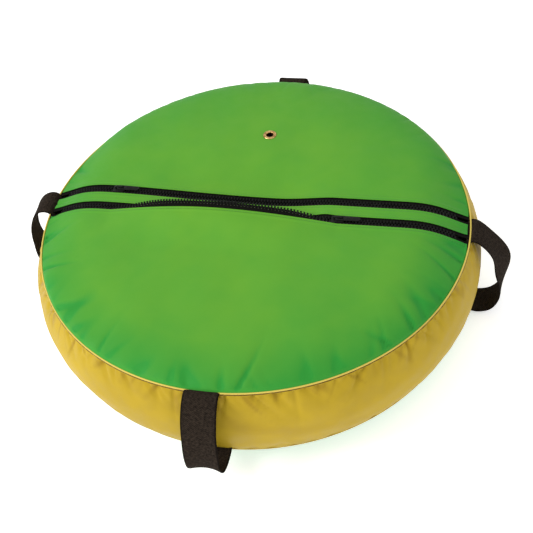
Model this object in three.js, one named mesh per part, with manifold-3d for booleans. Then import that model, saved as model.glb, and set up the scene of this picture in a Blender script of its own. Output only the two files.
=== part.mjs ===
// Towable inner-tube float: a sewn two-colour cover over an inflated rubber ring,
// with two zippers across its top, four webbing handles and a brass eyelet.
//
// Millimetres, +Z up. X runs along the zippers, +Y to the eyelet's side.
// The origin is on the ground, under the centre of the ring.

import * as THREE from 'three';
import { mergeVertices } from 'three/addons/utils/BufferGeometryUtils.js';
import Module from 'manifold-3d';

const wasm = await Module();
wasm.setup();

// ---------- driving dimensions ----------

const OUTER_R = 310; // widest radius of the cover, midway between its rim seams
const HEIGHT = 170; // ground to the flat top
const FLAT_R = 200; // the top and bottom are flat out to here
const SEAM_R = 291; // radius of the top and bottom rim seams
const TOP_DROP = 22; // the top rim seam is this much lower than the flat top
const BASE_DROP = 29; // and the bottom one this high above the ground
const SHOULDER_POWER = 1.8; // how sharply the top turns down to the seam
const CLOTH = 1.5; // cover cloth with its coating and seam allowance
const GAP = 0.3; // clearance between neighbouring pieces

const TUBE_CENTRE_R = 203; // centre circle of the inflated ring
const TUBE_HALF_WIDTH = 104;
const TUBE_HALF_HEIGHT = 77; // the sliders run between the ring and the cloth
const TUBE_WALL = 2;

const ZIP_Y = 17; // each zipper's centre line is this far from the middle
const BAND_HALF = 7.5; // half of the visible width of a zipper
const TAPE_MARGIN = 6; // how far a tape is sewn under the cloth
const MARGIN_DROP = 0.6; // the hidden edge of a tape hangs this much lower
const TAPE_THICK = 1;
const ROW_WIDTH = 3.2; // one row of moulded teeth
const ROW_HEIGHT = 3.2;
const ROW_CLEAR = 0.6; // from the centre line to a row
const ROW_GAP = 0.9; // from a row to its tape, which twist together at the mouth's ends

const SLIDER_X = 122; // the front slider, pulled two thirds of the way open
const SLIDER_END_X = 195; // both sliders' last place on the flat top
const SLIDER_WIDE = 13;
const SLIDER_NARROW = 10;
const SLIDER_LENGTH = 18;

const OPEN_LEFT = -195; // where the two rows start to part
const OPEN_RIGHT = SLIDER_X - 10; // where the front slider brings them together
const LIP_PEAK_X = -75;
const LIP_LIFT = 16.5; // the front edge of the mouth stands this much higher
const SAG_PEAK_X = 30;
const SAG_DEPTH = 9.5; // and the middle strip hangs this much lower
const VALLEY = 2; // the zippers lie this much under the flat top
const LIP_TILT = THREE.MathUtils.degToRad(60);
const STRIP_TILT = THREE.MathUtils.degToRad(-60);
const LIP_FADE = 70; // how far from the mouth the cloth is lifted
const SAG_FADE = 90;

const EYELET_Y = 147;
const EYELET_BORE = 5.25;
const EYELET_FLANGE = 10;

const WEB_WIDTH = 45;
const WEB_THICK = 2;

const VALVE_HOLE = 5;

const ROUND_STEPS = 48;
const ACROSS_STEPS = 36;

// ---------- closed solids from faces ----------

function signedVolume(positions, index) {
  const [a, b, c] = [new THREE.Vector3(), new THREE.Vector3(), new THREE.Vector3()];
  let total = 0;
  for (let i = 0; i < index.length; i += 3) {
    a.fromArray(positions, index[i] * 3);
    b.fromArray(positions, index[i + 1] * 3);
    c.fromArray(positions, index[i + 2] * 3);
    total += a.dot(b.cross(c)) / 6;
  }
  return total;
}

function closedGeometry(points, index) {
  const positions = points.flatMap((p) => [p.x, p.y, p.z]);
  const faces = signedVolume(positions, index) > 0 ? index : [...index].reverse();
  const geometry = new THREE.BufferGeometry();
  geometry.setAttribute('position', new THREE.Float32BufferAttribute(positions, 3));
  geometry.setIndex(faces);
  return geometry;
}

// A bar whose closed sections follow one another, with a flat cap at each end.
function sweptSolid(sections) {
  const n = sections[0].length;
  const index = [];
  for (let i = 0; i + 1 < sections.length; i++) {
    for (let k = 0; k < n; k++) {
      const [a, b] = [i * n + k, i * n + ((k + 1) % n)];
      index.push(a, b, b + n, a, b + n, a + n);
    }
  }
  const last = (sections.length - 1) * n;
  for (let k = 1; k + 1 < n; k++) {
    index.push(0, k + 1, k);
    index.push(last, last + k, last + k + 1);
  }
  return closedGeometry(sections.flat(), index);
}

// A sheet of cloth: a grid of points, and the same grid one thickness lower.
function sheetSolid(stepsU, stepsV, pointAt, thickness) {
  const rows = stepsV + 1;
  const count = (stepsU + 1) * rows;
  const top = [];
  for (let i = 0; i <= stepsU; i++) {
    for (let j = 0; j <= stepsV; j++) top.push(pointAt(i / stepsU, j / stepsV));
  }
  const bottom = top.map((p) => new THREE.Vector3(p.x, p.y, p.z - thickness));
  const index = [];
  const quad = (a, b, c, d) => index.push(a, b, c, a, c, d);
  for (let i = 0; i < stepsU; i++) {
    for (let j = 0; j < stepsV; j++) {
      const a = i * rows + j;
      quad(a, a + rows, a + rows + 1, a + 1);
      quad(count + a, count + a + 1, count + a + rows + 1, count + a + rows);
    }
  }
  const edge = [];
  for (let i = 0; i < stepsU; i++) edge.push(i * rows);
  for (let j = 0; j < stepsV; j++) edge.push(stepsU * rows + j);
  for (let i = stepsU; i > 0; i--) edge.push(i * rows + stepsV);
  for (let j = stepsV; j > 0; j--) edge.push(j);
  edge.forEach((a, k) => {
    const b = edge[(k + 1) % edge.length];
    quad(a, count + a, count + b, b);
  });
  return closedGeometry([...top, ...bottom], index);
}

// A solid of revolution about Z from a closed or on-axis outline of [r, z] points.
function turned(outline, steps) {
  const points = outline.map(([r, z]) => new THREE.Vector2(r, z));
  const geometry = new THREE.LatheGeometry(points, steps);
  return geometry.rotateX(Math.PI / 2);
}

// ---------- cuts and joins ----------

function toManifold(geometry) {
  const bare = geometry.clone();
  bare.deleteAttribute('normal');
  bare.deleteAttribute('uv');
  const merged = mergeVertices(bare, 1e-4);
  const corners = merged.index.array;
  const kept = [];
  for (let i = 0; i < corners.length; i += 3) {
    const [a, b, c] = [corners[i], corners[i + 1], corners[i + 2]];
    if (a !== b && b !== c && a !== c) kept.push(a, b, c);
  }
  const positions = merged.attributes.position.array;
  if (signedVolume(positions, kept) < 0) kept.reverse();
  const mesh = new wasm.Mesh({
    numProp: 3,
    vertProperties: new Float32Array(positions),
    triVerts: new Uint32Array(kept),
  });
  return new wasm.Manifold(mesh);
}

function fromManifold(solid) {
  const { vertProperties, triVerts } = solid.getMesh();
  const geometry = new THREE.BufferGeometry();
  geometry.setAttribute('position', new THREE.Float32BufferAttribute(vertProperties, 3));
  geometry.setIndex(new THREE.Uint32BufferAttribute(triVerts, 1));
  return geometry;
}

function joined(...geometries) {
  const solids = geometries.map(toManifold);
  return fromManifold(solids.reduce((all, next) => all.add(next)));
}

function cutBy(geometry, ...tools) {
  const solids = tools.map(toManifold);
  return fromManifold(solids.reduce((all, tool) => all.subtract(tool), toManifold(geometry)));
}

function box(x0, x1, y0, y1, z0, z1) {
  const geometry = new THREE.BoxGeometry(x1 - x0, y1 - y0, z1 - z0);
  return geometry.translate((x0 + x1) / 2, (y0 + y1) / 2, (z0 + z1) / 2);
}

// ---------- the shape of the cover's top ----------

const { clamp, smoothstep } = THREE.MathUtils;

// How far a panel turns away from its flat middle on the way to its rim seam.
function turnDown(r, drop) {
  const t = Math.max(0, (r - FLAT_R) / (SEAM_R - FLAT_R));
  return drop * t ** SHOULDER_POWER;
}

const shoulderHeight = (r) => HEIGHT - turnDown(r, TOP_DROP);

function hump(x, from, peak, to) {
  const t = x < peak ? (x - from) / (peak - from) : (to - x) / (to - peak);
  return Math.sin((Math.PI / 2) * clamp(t, 0, 1)) ** 1.5;
}

const lipLift = (x) => LIP_LIFT * hump(x, OPEN_LEFT, LIP_PEAK_X, OPEN_RIGHT) - VALLEY;
const stripSag = (x) => -SAG_DEPTH * hump(x, OPEN_LEFT, SAG_PEAK_X, OPEN_RIGHT) - VALLEY;
const rimFade = (r) => 1 - smoothstep(r, FLAT_R, FLAT_R + 60);

function topHeight(x, y) {
  const r = Math.hypot(x, y);
  const frontEdge = -ZIP_Y - BAND_HALF;
  const rearEdge = ZIP_Y + BAND_HALF;
  let shift = stripSag(x);
  if (y < -ZIP_Y) shift = lipLift(x) * (1 - smoothstep(frontEdge - y, 0, LIP_FADE));
  else if (y > rearEdge) shift *= 1 - smoothstep(y - rearEdge, 0, SAG_FADE);
  return shoulderHeight(r) + shift * rimFade(r);
}

const PANEL_RIM_R = SEAM_R - 2.6;
const STATION_END = 287.3; // the last place of the tapes and the panels' straight edges

// Places along X, closer together where the top turns down to the rim,
// with one more at the mouth's end.
const stations = Array.from(
  { length: ACROSS_STEPS + 1 },
  (_, i) => STATION_END * Math.sin(Math.PI * (i / ACROSS_STEPS - 0.5)),
);
stations.push(OPEN_RIGHT);
stations.sort((a, b) => a - b);

// ---------- cover ----------

// One half of the top: side is -1 for the front half and +1 for the rear half.
function topPanel(side) {
  const straightEdge = ZIP_Y + BAND_HALF;
  const steps = stations.length - 1;
  return sheetSolid(
    steps,
    9,
    (u, v) => {
      const x = stations[Math.round(u * steps)];
      const rim = Math.sqrt(PANEL_RIM_R ** 2 - x ** 2);
      const y = side * THREE.MathUtils.lerp(straightEdge, rim, v ** 1.4);
      return new THREE.Vector3(x, y, topHeight(x, y));
    },
    CLOTH,
  );
}

function rearTopPanel() {
  const hole = new THREE.CylinderGeometry(EYELET_BORE + 1.3, EYELET_BORE + 1.3, 20, 20);
  hole.rotateX(Math.PI / 2).translate(0, EYELET_Y, HEIGHT);
  return cutBy(topPanel(1), hole);
}

function centreStrip() {
  const half = ZIP_Y - BAND_HALF;
  const steps = stations.length - 1;
  return sheetSolid(
    steps,
    1,
    (u, v) => {
      const x = stations[Math.round(u * steps)];
      const y = THREE.MathUtils.lerp(-half, half, v);
      return new THREE.Vector3(x, y, topHeight(x, y));
    },
    CLOTH,
  );
}

// The side band bulges between the two rim seams on one round arc.
function sideBand() {
  const middle = (BASE_DROP + HEIGHT - TOP_DROP) / 2;
  const halfChord = middle - BASE_DROP;
  const rise = OUTER_R - SEAM_R;
  const arcR = (halfChord ** 2 + rise ** 2) / (2 * rise);
  const arcHalfAngle = Math.asin(halfChord / arcR);
  const arcPoint = (radius, angle) => [
    OUTER_R - arcR + radius * Math.cos(angle),
    middle + radius * Math.sin(angle),
  ];
  const steps = 6;
  const outline = [];
  for (let i = 0; i <= steps; i++) {
    outline.push(arcPoint(arcR, arcHalfAngle * ((2 * i) / steps - 1)));
  }
  for (let i = steps; i >= 0; i--) {
    outline.push(arcPoint(arcR - CLOTH, arcHalfAngle * ((2 * i) / steps - 1)));
  }
  outline.push(outline[0]);
  return turned(outline, ROUND_STEPS);
}

function bottomPanel() {
  const rims = [FLAT_R, 224, 246, 264, 278, PANEL_RIM_R];
  const under = rims.map((r) => [r, turnDown(r, BASE_DROP)]);
  const over = [...under].reverse().map(([r, z]) => [r, z + CLOTH]);
  return turned([[0, 0], ...under, ...over, [0, CLOTH]], ROUND_STEPS);
}

// ---------- inflated ring and its valve ----------

function ringOutline(halfWidth, halfHeight, steps) {
  const outline = [];
  for (let i = 0; i <= steps; i++) {
    const angle = (2 * Math.PI * (i % steps)) / steps;
    outline.push([
      TUBE_CENTRE_R + halfWidth * Math.cos(angle),
      HEIGHT / 2 + halfHeight * Math.sin(angle),
    ]);
  }
  return outline;
}

const RING_INNER_R = TUBE_CENTRE_R - TUBE_HALF_WIDTH;

function innerTube() {
  const outer = turned(ringOutline(TUBE_HALF_WIDTH, TUBE_HALF_HEIGHT, 14), 40);
  const inside = ringOutline(TUBE_HALF_WIDTH - TUBE_WALL, TUBE_HALF_HEIGHT - TUBE_WALL, 14);
  const hole = new THREE.CylinderGeometry(VALVE_HOLE, VALVE_HOLE, 20, 16);
  hole.translate(0, RING_INNER_R, HEIGHT / 2);
  return cutBy(outer, turned(inside, 40), hole);
}

// The valve's pieces are turned about their own Y axis, which points away from the tube's wall.
function turnedOnY(outline, steps) {
  return new THREE.LatheGeometry(outline.map(([r, y]) => new THREE.Vector2(r, y)), steps);
}

const VALVE_STEPS = 16;
const STEM_LENGTH = 36;

function valveStem() {
  const bore = 2;
  const outline = [
    [bore, -3.5], [4.6, -3.5], [4.6, 1.6], [11, 1.6], [11, 3.2], [7.5, 5],
    [5.5, 12], [4, 14], [4, STEM_LENGTH], [bore, STEM_LENGTH], [bore, -3.5],
  ];
  return turnedOnY(outline, VALVE_STEPS);
}

function valveCore() {
  const outline = [[0, 12], [1.5, 12], [1.5, 26], [0.8, 27], [0.8, 35], [0, 35]];
  return turnedOnY(outline, 10);
}

function valveCap() {
  const outline = [
    [0, STEM_LENGTH + 1], [4.4, STEM_LENGTH + 1], [4.4, 24], [6, 24], [6, STEM_LENGTH + 2],
    [5, STEM_LENGTH + 3.5], [0, STEM_LENGTH + 3.5],
  ];
  return turnedOnY(outline, VALVE_STEPS);
}

// ---------- eyelet ----------

function eyeletRing() {
  const sleeve = EYELET_BORE + 0.9;
  const outline = [
    [EYELET_BORE, -4], [sleeve, -4], [sleeve, GAP], [EYELET_FLANGE, GAP],
    [EYELET_FLANGE - 0.6, 1.2], [7.8, 1.9], [6, 1.6], [EYELET_BORE, 0.6], [EYELET_BORE, -4],
  ];
  return turned(outline, 20);
}

function eyeletWasher() {
  const inner = EYELET_BORE + 0.9 + GAP;
  const [low, high] = [-CLOTH - GAP - 1.2, -CLOTH - GAP];
  const outline = [
    [inner, low], [EYELET_FLANGE + 0.5, low], [EYELET_FLANGE + 0.5, high], [inner, high],
    [inner, low],
  ];
  return turned(outline, 20);
}

// ---------- webbing handles ----------

// A strap from the top seam, bowing out and down, and back into the bottom seam.
function webbingLoop() {
  const route = new THREE.CatmullRomCurve3(
    [
      [293.3, 149.5], [303, 152], [316, 142], [330, 123], [342, 100], [349, 76],
      [347, 51], [338, 28], [322, 13], [305, 14], [293.6, 26.5],
    ].map(([r, z]) => new THREE.Vector3(r, 0, z)),
  );
  const steps = 22;
  const sections = [];
  for (let i = 0; i <= steps; i++) {
    const at = route.getPointAt(i / steps);
    const along = route.getTangentAt(i / steps);
    const out = new THREE.Vector3(-along.z, 0, along.x).multiplyScalar(WEB_THICK / 2);
    const across = new THREE.Vector3(0, WEB_WIDTH / 2, 0);
    sections.push([
      at.clone().add(out).add(across),
      at.clone().add(out).sub(across),
      at.clone().sub(out).sub(across),
      at.clone().sub(out).add(across),
    ]);
  }
  return sweptSolid(sections);
}

// ---------- zippers ----------

const TAPE_TOP = -CLOTH - GAP; // the tapes are sewn under the cloth
const ROW_TOP = TAPE_TOP - TAPE_THICK / 2 + ROW_HEIGHT / 2;

// How far the mouth is open at x, from 0 where the rows lie together to 1.
function mouthOpen(x) {
  const leftEnd = smoothstep(x, OPEN_LEFT + 10, OPEN_LEFT + 90);
  return leftEnd * (1 - smoothstep(x, OPEN_RIGHT - 65, OPEN_RIGHT));
}

// One half of a zipper is described by the cloth edge that it hangs on:
// toward is +1 where its centre line is on the +Y side of that edge.
const halves = {
  front_zipper_front: { edge: -ZIP_Y - BAND_HALF, toward: 1, tilt: LIP_TILT },
  front_zipper_rear: { edge: -ZIP_Y + BAND_HALF, toward: -1, tilt: STRIP_TILT },
  rear_zipper_front: { edge: ZIP_Y - BAND_HALF, toward: 1, tilt: 0 },
  rear_zipper_rear: { edge: ZIP_Y + BAND_HALF, toward: -1, tilt: 0 },
};

// A point of the half's section: out from the cloth edge, and up from the cloth's top.
function halfPoint(half, x, out, up) {
  const angle = out > 0 ? half.tilt * mouthOpen(x) : 0;
  const y = half.edge + half.toward * out;
  const cloth = topHeight(x, out > 0 ? half.edge : y);
  if (!angle) {
    const level = half.tilt === 0 || out <= 0 ? cloth : topHeight(x, half.edge);
    return new THREE.Vector3(x, y, level + up);
  }
  const lift = up - TAPE_TOP;
  const turnedOut = out * Math.cos(angle) - lift * Math.sin(angle);
  const turnedUp = out * Math.sin(angle) + lift * Math.cos(angle);
  return new THREE.Vector3(x, half.edge + half.toward * turnedOut, cloth + TAPE_TOP + turnedUp);
}

function zipperTape(half) {
  const free = BAND_HALF - ROW_CLEAR - ROW_WIDTH - ROW_GAP;
  const low = TAPE_TOP - TAPE_THICK;
  return sweptSolid(stations.map((x) => [
    halfPoint(half, x, -TAPE_MARGIN, TAPE_TOP - MARGIN_DROP),
    halfPoint(half, x, 0, TAPE_TOP),
    halfPoint(half, x, free, TAPE_TOP),
    halfPoint(half, x, free, low),
    halfPoint(half, x, 0, low),
    halfPoint(half, x, -TAPE_MARGIN, low - MARGIN_DROP),
  ]));
}

function teethRow(half) {
  const [near, far] = [BAND_HALF - ROW_CLEAR - ROW_WIDTH, BAND_HALF - ROW_CLEAR];
  const low = ROW_TOP - ROW_HEIGHT;
  return sweptSolid(stations.map((x) => [
    halfPoint(half, x, near, ROW_TOP),
    halfPoint(half, x, far, ROW_TOP),
    halfPoint(half, x, far, low),
    halfPoint(half, x, near, low),
  ]));
}

// Slider, about its own middle at the level of the cloth's top: wide end towards -X.
const PLATE_LOW = ROW_TOP + GAP;
const PLATE_TOP = PLATE_LOW + 1.8;
const HINGE_UP = PLATE_TOP + 1.9;

function sliderPlate(low, high) {
  const [half, wide, narrow] = [SLIDER_LENGTH / 2, SLIDER_WIDE / 2, SLIDER_NARROW / 2];
  const outline = new THREE.Shape();
  outline.moveTo(-half, -wide + 2);
  outline.lineTo(-half + 2, -wide);
  outline.lineTo(half - 3, -narrow);
  outline.lineTo(half, -narrow + 2.5);
  outline.lineTo(half, narrow - 2.5);
  outline.lineTo(half - 3, narrow);
  outline.lineTo(-half + 2, wide);
  outline.lineTo(-half, wide - 2);
  outline.closePath();
  const plate = new THREE.ExtrudeGeometry(outline, { depth: high - low, bevelEnabled: false });
  return plate.translate(0, 0, low);
}

function sliderBody() {
  const underRow = ROW_TOP - ROW_HEIGHT - GAP;
  const half = SLIDER_LENGTH / 2;
  const postHalf = ROW_CLEAR - GAP;
  return joined(
    sliderPlate(PLATE_LOW, PLATE_TOP),
    sliderPlate(underRow - 1.2, underRow),
    box(-half + 1, -half + 6, -postHalf, postHalf, underRow - 0.5, PLATE_LOW + 0.5),
    box(-6, -4, -1.5, 1.5, PLATE_TOP - 0.5, PLATE_TOP + 5),
    box(4, 6, -1.5, 1.5, PLATE_TOP - 0.5, PLATE_TOP + 5),
    box(-6, 6, -1.5, 1.5, PLATE_TOP + 3.6, PLATE_TOP + 5),
  );
}

// Pull tab, about its hinge: a bar under the slider's bridge, two arms and a tapered grip.
function pullTab() {
  const thick = 0.8;
  const arm = (side) => box(-thick, 9, side * 3.2 - 1, side * 3.2 + 1, -thick, thick);
  const grip = new THREE.Shape();
  grip.moveTo(7.5, -4.2);
  grip.lineTo(26, -3.2);
  grip.absarc(27, 0, 3.2, -Math.PI / 2, Math.PI / 2, false);
  grip.lineTo(7.5, 4.2);
  grip.closePath();
  const plate = new THREE.ExtrudeGeometry(grip, {
    depth: 2 * thick,
    bevelEnabled: false,
    curveSegments: 6,
  });
  return joined(
    box(-thick, thick, -4.2, 4.2, -thick, thick),
    arm(-1),
    arm(1),
    plate.translate(0, 0, -thick),
  );
}

// ---------- materials ----------

const material = (color, roughness, metalness = 0) =>
  new THREE.MeshStandardMaterial({ color, roughness, metalness });

const looks = {
  green: () => material(0x5dae3e, 0.75),
  yellow: () => material(0xc9a832, 0.7),
  underside: () => material(0x4f9a38, 0.8),
  rubber: () => material(0x161616, 0.6),
  tape: () => material(0x1b1a18, 0.9),
  teeth: () => material(0x121212, 0.45),
  webbing: () => material(0x2a2622, 0.9),
  brass: () => material(0xb98a45, 0.3, 1),
  plastic: () => material(0x101010, 0.4),
};

// ---------- the assembly ----------

const float = new THREE.Group();

function add(name, geometry, look, parent = float) {
  const mesh = new THREE.Mesh(geometry, looks[look]());
  mesh.name = name;
  parent.add(mesh);
  return mesh;
}

function group(x, y, z, rotationX = 0) {
  const holder = new THREE.Group();
  holder.position.set(x, y, z);
  holder.rotation.x = rotationX;
  float.add(holder);
  return holder;
}

add('top_panel_front', topPanel(-1), 'green');
add('top_panel_rear', rearTopPanel(), 'green');
add('centre_strip', centreStrip(), 'green');
add('side_band', sideBand(), 'yellow');
add('bottom_panel', bottomPanel(), 'underside');
add('inner_tube', innerTube(), 'rubber');

const valve = group(0, RING_INNER_R, HEIGHT / 2, Math.PI);
add('valve_stem', valveStem(), 'rubber', valve);
add('valve_core', valveCore(), 'brass', valve);
add('valve_cap', valveCap(), 'plastic', valve);

const eyelet = group(0, EYELET_Y, HEIGHT);
add('eyelet_ring', eyeletRing(), 'brass', eyelet);
add('eyelet_washer', eyeletWasher(), 'brass', eyelet);

['right', 'rear', 'left', 'front'].forEach((side, quarter) => {
  const handle = add(`handle_${side}`, webbingLoop(), 'webbing');
  handle.rotation.z = (quarter * Math.PI) / 2;
});

for (const [name, half] of Object.entries(halves)) {
  add(`${name}_tape`, zipperTape(half), 'tape');
  add(`${name}_teeth`, teethRow(half), 'teeth');
}

const sliders = { front: [SLIDER_X, -ZIP_Y], rear: [-SLIDER_END_X, ZIP_Y] };
for (const [name, [x, y]] of Object.entries(sliders)) {
  const slider = group(x, y, HEIGHT - VALLEY);
  add(`${name}_slider`, sliderBody(), 'plastic', slider);
  add(`${name}_pull_tab`, pullTab(), 'plastic', slider).position.z = HINGE_UP;
}

export default float;
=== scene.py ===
"""Looks of a towable tube: a sewn two-colour nylon cover over an inflated rubber ring.

Shapes are worked out in millimetres, as on a sewing pattern, and each mesh is made in metres.
X runs along the zippers, +Y is the eyelet's side and +Z is up, with the ground at 0.
"""

from math import acos, atan2, cos, pi as PI, radians, sin, sqrt

import bmesh
import bpy
import numpy as np
from mathutils import Matrix, Vector


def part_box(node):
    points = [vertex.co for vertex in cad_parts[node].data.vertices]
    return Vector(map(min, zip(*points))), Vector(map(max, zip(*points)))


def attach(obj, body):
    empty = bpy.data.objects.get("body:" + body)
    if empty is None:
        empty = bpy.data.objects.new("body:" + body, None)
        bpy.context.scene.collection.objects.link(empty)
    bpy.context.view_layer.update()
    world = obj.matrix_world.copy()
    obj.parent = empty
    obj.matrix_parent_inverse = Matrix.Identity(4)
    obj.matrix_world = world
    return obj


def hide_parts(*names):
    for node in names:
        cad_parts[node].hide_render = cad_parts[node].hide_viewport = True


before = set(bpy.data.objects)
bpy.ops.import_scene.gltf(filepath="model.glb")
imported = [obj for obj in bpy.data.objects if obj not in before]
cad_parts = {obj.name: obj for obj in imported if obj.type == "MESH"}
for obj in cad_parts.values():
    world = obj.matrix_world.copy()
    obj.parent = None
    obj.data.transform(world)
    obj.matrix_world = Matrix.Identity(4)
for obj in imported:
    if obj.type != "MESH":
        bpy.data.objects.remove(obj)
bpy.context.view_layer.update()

MM = 0.001
random = np.random.default_rng(7)


def box_mm(node):
    """Lowest and highest corner of a CAD node, in millimetres."""
    low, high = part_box(node)
    return np.array(low) / MM, np.array(high) / MM


def middle_mm(node):
    """The middle of a CAD node's box, in millimetres."""
    low, high = box_mm(node)
    return (low + high) / 2


# ---- sizes, from the frame and as on the CAD part ----

TUBE_LOW, TUBE_HIGH = box_mm("inner_tube")
TUBE_HALF_WIDTH = 104.0
BAND_LOW, BAND_HIGH = box_mm("side_band")
HEIGHT = TUBE_LOW[2] + TUBE_HIGH[2]
SEAM_RISE = 2  # the cloth's top seam stands this much over the CAD's plain one
SEAM_LOW_Z, SEAM_HIGH_Z = BAND_LOW[2], BAND_HIGH[2] + SEAM_RISE
SEAM_R, OUTER_R = 294.6, 311.8
FLAT_R = 200.0  # the plain top and bottom are flat within this radius
SHOULDER_POWER, BASE_POWER = 2.5, 1.8
FULLNESS, ZIPPER_FULLNESS = 0.5, 1.5  # how roundly the top meets the seam, and at the zippers
SEAM_WAVE = 3.4  # the zippers hold the rim seam this much lower at the sides
BEAD_R = 0.5  # the rolled edge of the side band
BAND_LENGTH = (SEAM_HIGH_Z - SEAM_LOW_Z) * 1.06  # round the band's bulge, from seam to seam
BAND_STITCH = 2.5  # its stitches are this far from each seam
STITCH_IN = 3.2  # a zipper's stitches are this far in from the cloth's folded edge
CLOTH = 1.1
EASE = 1.02  # a panel is cut this much larger than the shape it covers

ZIP_Y = 17.0
BAND_HALF = 7.5  # half of a zipper's width between its two cloth edges
TAPE_MARGIN, TAPE_THICK = 6.0, 1.0
TAPE_TOP = -1.3  # the zippers' tapes are sewn under the cloth
ROW_TOP, ROW_HEIGHT = -0.7, 3.2
ROW_LOW = ROW_TOP - ROW_HEIGHT

SLIDER_X = middle_mm("front_slider")[0]
STOP_X = -middle_mm("rear_slider")[0]  # the rear slider rests at its chain's closed end

OPEN_LEFT, OPEN_RIGHT = -STOP_X, SLIDER_X - 10
LIP_PEAK_X, LIP_LIFT, LIP_FADE = -50.0, 16.2, 70.0
LIP_PULLED = 4.2  # how much more of its tape the mouth's front lip shows
SAG_PEAK_X, SAG_DEPTH, SAG_FADE = 30.0, 8.0, 90.0
VALLEY = 2.0  # the zippers lie this much lower than the flat top
LIP_TILT, STRIP_TILT = radians(60), radians(-60)

EYELET_Y = middle_mm("eyelet_ring")[1]
EYELET_BORE = 5.25

# ---- camera, floor and light ----


def put(name, data):
    """A new object in the scene."""
    made = bpy.data.objects.new(name, data)
    bpy.context.scene.collection.objects.link(made)
    return made


def set_camera():
    """A camera looking down at the float from its front, turned a little to the right."""
    elevation, azimuth, roll = 0.8104, 0.3029, -0.1531
    distance = 1.2704
    target = Vector((0, 0, 0.08447))
    flat = cos(elevation)
    back = Vector((sin(azimuth) * flat, -cos(azimuth) * flat, sin(elevation)))
    level = Vector((cos(azimuth), sin(azimuth), 0))
    up = back.cross(level)
    right = level * cos(roll) + up * sin(roll)
    upward = up * cos(roll) - level * sin(roll)
    data = bpy.data.cameras.new("camera")
    camera = put("camera", data)
    turn = Matrix((right, upward, back)).transposed()
    camera.matrix_world = Matrix.Translation(target + back * distance) @ turn.to_4x4()
    data.sensor_width, data.lens = 36.0, 59.74919325
    data.shift_x, data.shift_y = 0.017729831, -0.036566604
    data.clip_start, data.clip_end = 0.01, 50
    bpy.context.scene.camera = camera


def area_light(name, place, size, power):
    """A soft square light at place, facing the float."""
    data = bpy.data.lights.new(name, "AREA")
    data.size, data.energy = size, power
    light = put(name, data)
    light.location = place
    aim = Vector((0, 0, 0.1)) - Vector(place)
    light.rotation_euler = aim.to_track_quat("-Z", "Y").to_euler()


def set_light():
    """A bright room, a big soft key light from the left and a weak fill from the front."""
    world = bpy.data.worlds.new("room")
    bpy.context.scene.world = world
    world.use_nodes = True
    background = world.node_tree.nodes["Background"]
    background.inputs["Color"].default_value = (1, 1, 1, 1)
    background.inputs["Strength"].default_value = 0.78
    area_light("key", (-1.9, -1.0, 1.9), 1.1, 42)
    area_light("fill", (-0.2, -2.3, 1.3), 1.6, 5)
    view = bpy.context.scene.view_settings
    view.view_transform = "Standard"
    view.look = "None"


# ---- node helpers ----


class Shader:
    """A material under construction: each method adds one node and returns its output."""

    def __init__(self, name, colour, roughness, **sockets):
        self.material = bpy.data.materials.new(name)
        self.material.use_nodes = True
        self.tree = self.material.node_tree
        self.main = self.tree.nodes["Principled BSDF"]
        self.main.inputs["Base Color"].default_value = (*colour, 1)
        self.main.inputs["Roughness"].default_value = roughness
        for socket, value in sockets.items():
            self.main.inputs[socket.replace("_", " ")].default_value = value

    def node(self, kind, inputs=(), output=0, **settings):
        made = self.tree.nodes.new(kind)
        for key, value in settings.items():
            setattr(made, key, value)
        for socket, value in dict(inputs).items():
            if isinstance(value, bpy.types.NodeSocket):
                self.tree.links.new(value, made.inputs[socket])
            else:
                made.inputs[socket].default_value = value
        return made.outputs[output]

    def place(self):
        """Where a point is, in metres, in the frame at rest."""
        return self.node("ShaderNodeTexCoord", output="Object")

    def pattern(self):
        """A point's place on its flat pattern, in mm: along, across, and a fold's depth."""
        return self.node("ShaderNodeAttribute", output="Vector", attribute_name="pattern")

    def noise(self, scale, detail=3.0, roughness=0.5, where=None):
        where = where or self.place()
        inputs = {"Vector": where, "Scale": scale, "Detail": detail, "Roughness": roughness}
        return self.node("ShaderNodeTexNoise", inputs, output="Fac")

    def math(self, operation, a, b=0.0, clamp=False):
        inputs = {0: a, 1: b}
        return self.node("ShaderNodeMath", inputs, operation=operation, use_clamp=clamp)

    def ramp(self, value, low, high, to_low=0.0, to_high=1.0):
        inputs = {"Value": value, 1: low, 2: high, 3: to_low, 4: to_high}
        return self.node("ShaderNodeMapRange", inputs)

    def mix(self, share, a, b):
        colours = [(*c, 1) if isinstance(c, tuple) else c for c in (a, b)]
        inputs = {"Factor": share, 6: colours[0], 7: colours[1]}
        return self.node("ShaderNodeMix", inputs, output=2, data_type="RGBA")

    def split(self, vector):
        made = self.tree.nodes.new("ShaderNodeSeparateXYZ")
        self.tree.links.new(vector, made.inputs[0])
        return made.outputs[0], made.outputs[1], made.outputs[2]

    def weave(self, across, along, pitch_across, pitch_along):
        """Height of a plain weave, 0 to 1: threads over and under each other."""
        u = self.math("MULTIPLY", across, PI / pitch_across)
        v = self.math("MULTIPLY", along, PI / pitch_along)
        return self.half(self.math("MULTIPLY", self.math("SINE", u), self.math("SINE", v)))

    def half(self, value):
        """From -1..1 to 0..1."""
        return self.math("ADD", self.math("MULTIPLY", value, 0.5), 0.5)

    def colour(self, share, a, b):
        self.tree.links.new(self.mix(share, a, b), self.main.inputs["Base Color"])

    def rough(self, value, *levels):
        """Roughness as a ramp of value: low, high, and what they become."""
        self.tree.links.new(self.ramp(value, *levels), self.main.inputs["Roughness"])

    def bump(self, height, distance, strength=1.0):
        """distance in millimetres between height 0 and height 1."""
        inputs = {"Height": height, "Distance": distance * MM, "Strength": strength}
        bumped = self.node("ShaderNodeBump", inputs)
        self.tree.links.new(bumped, self.main.inputs["Normal"])


# ---- materials ----


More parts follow.
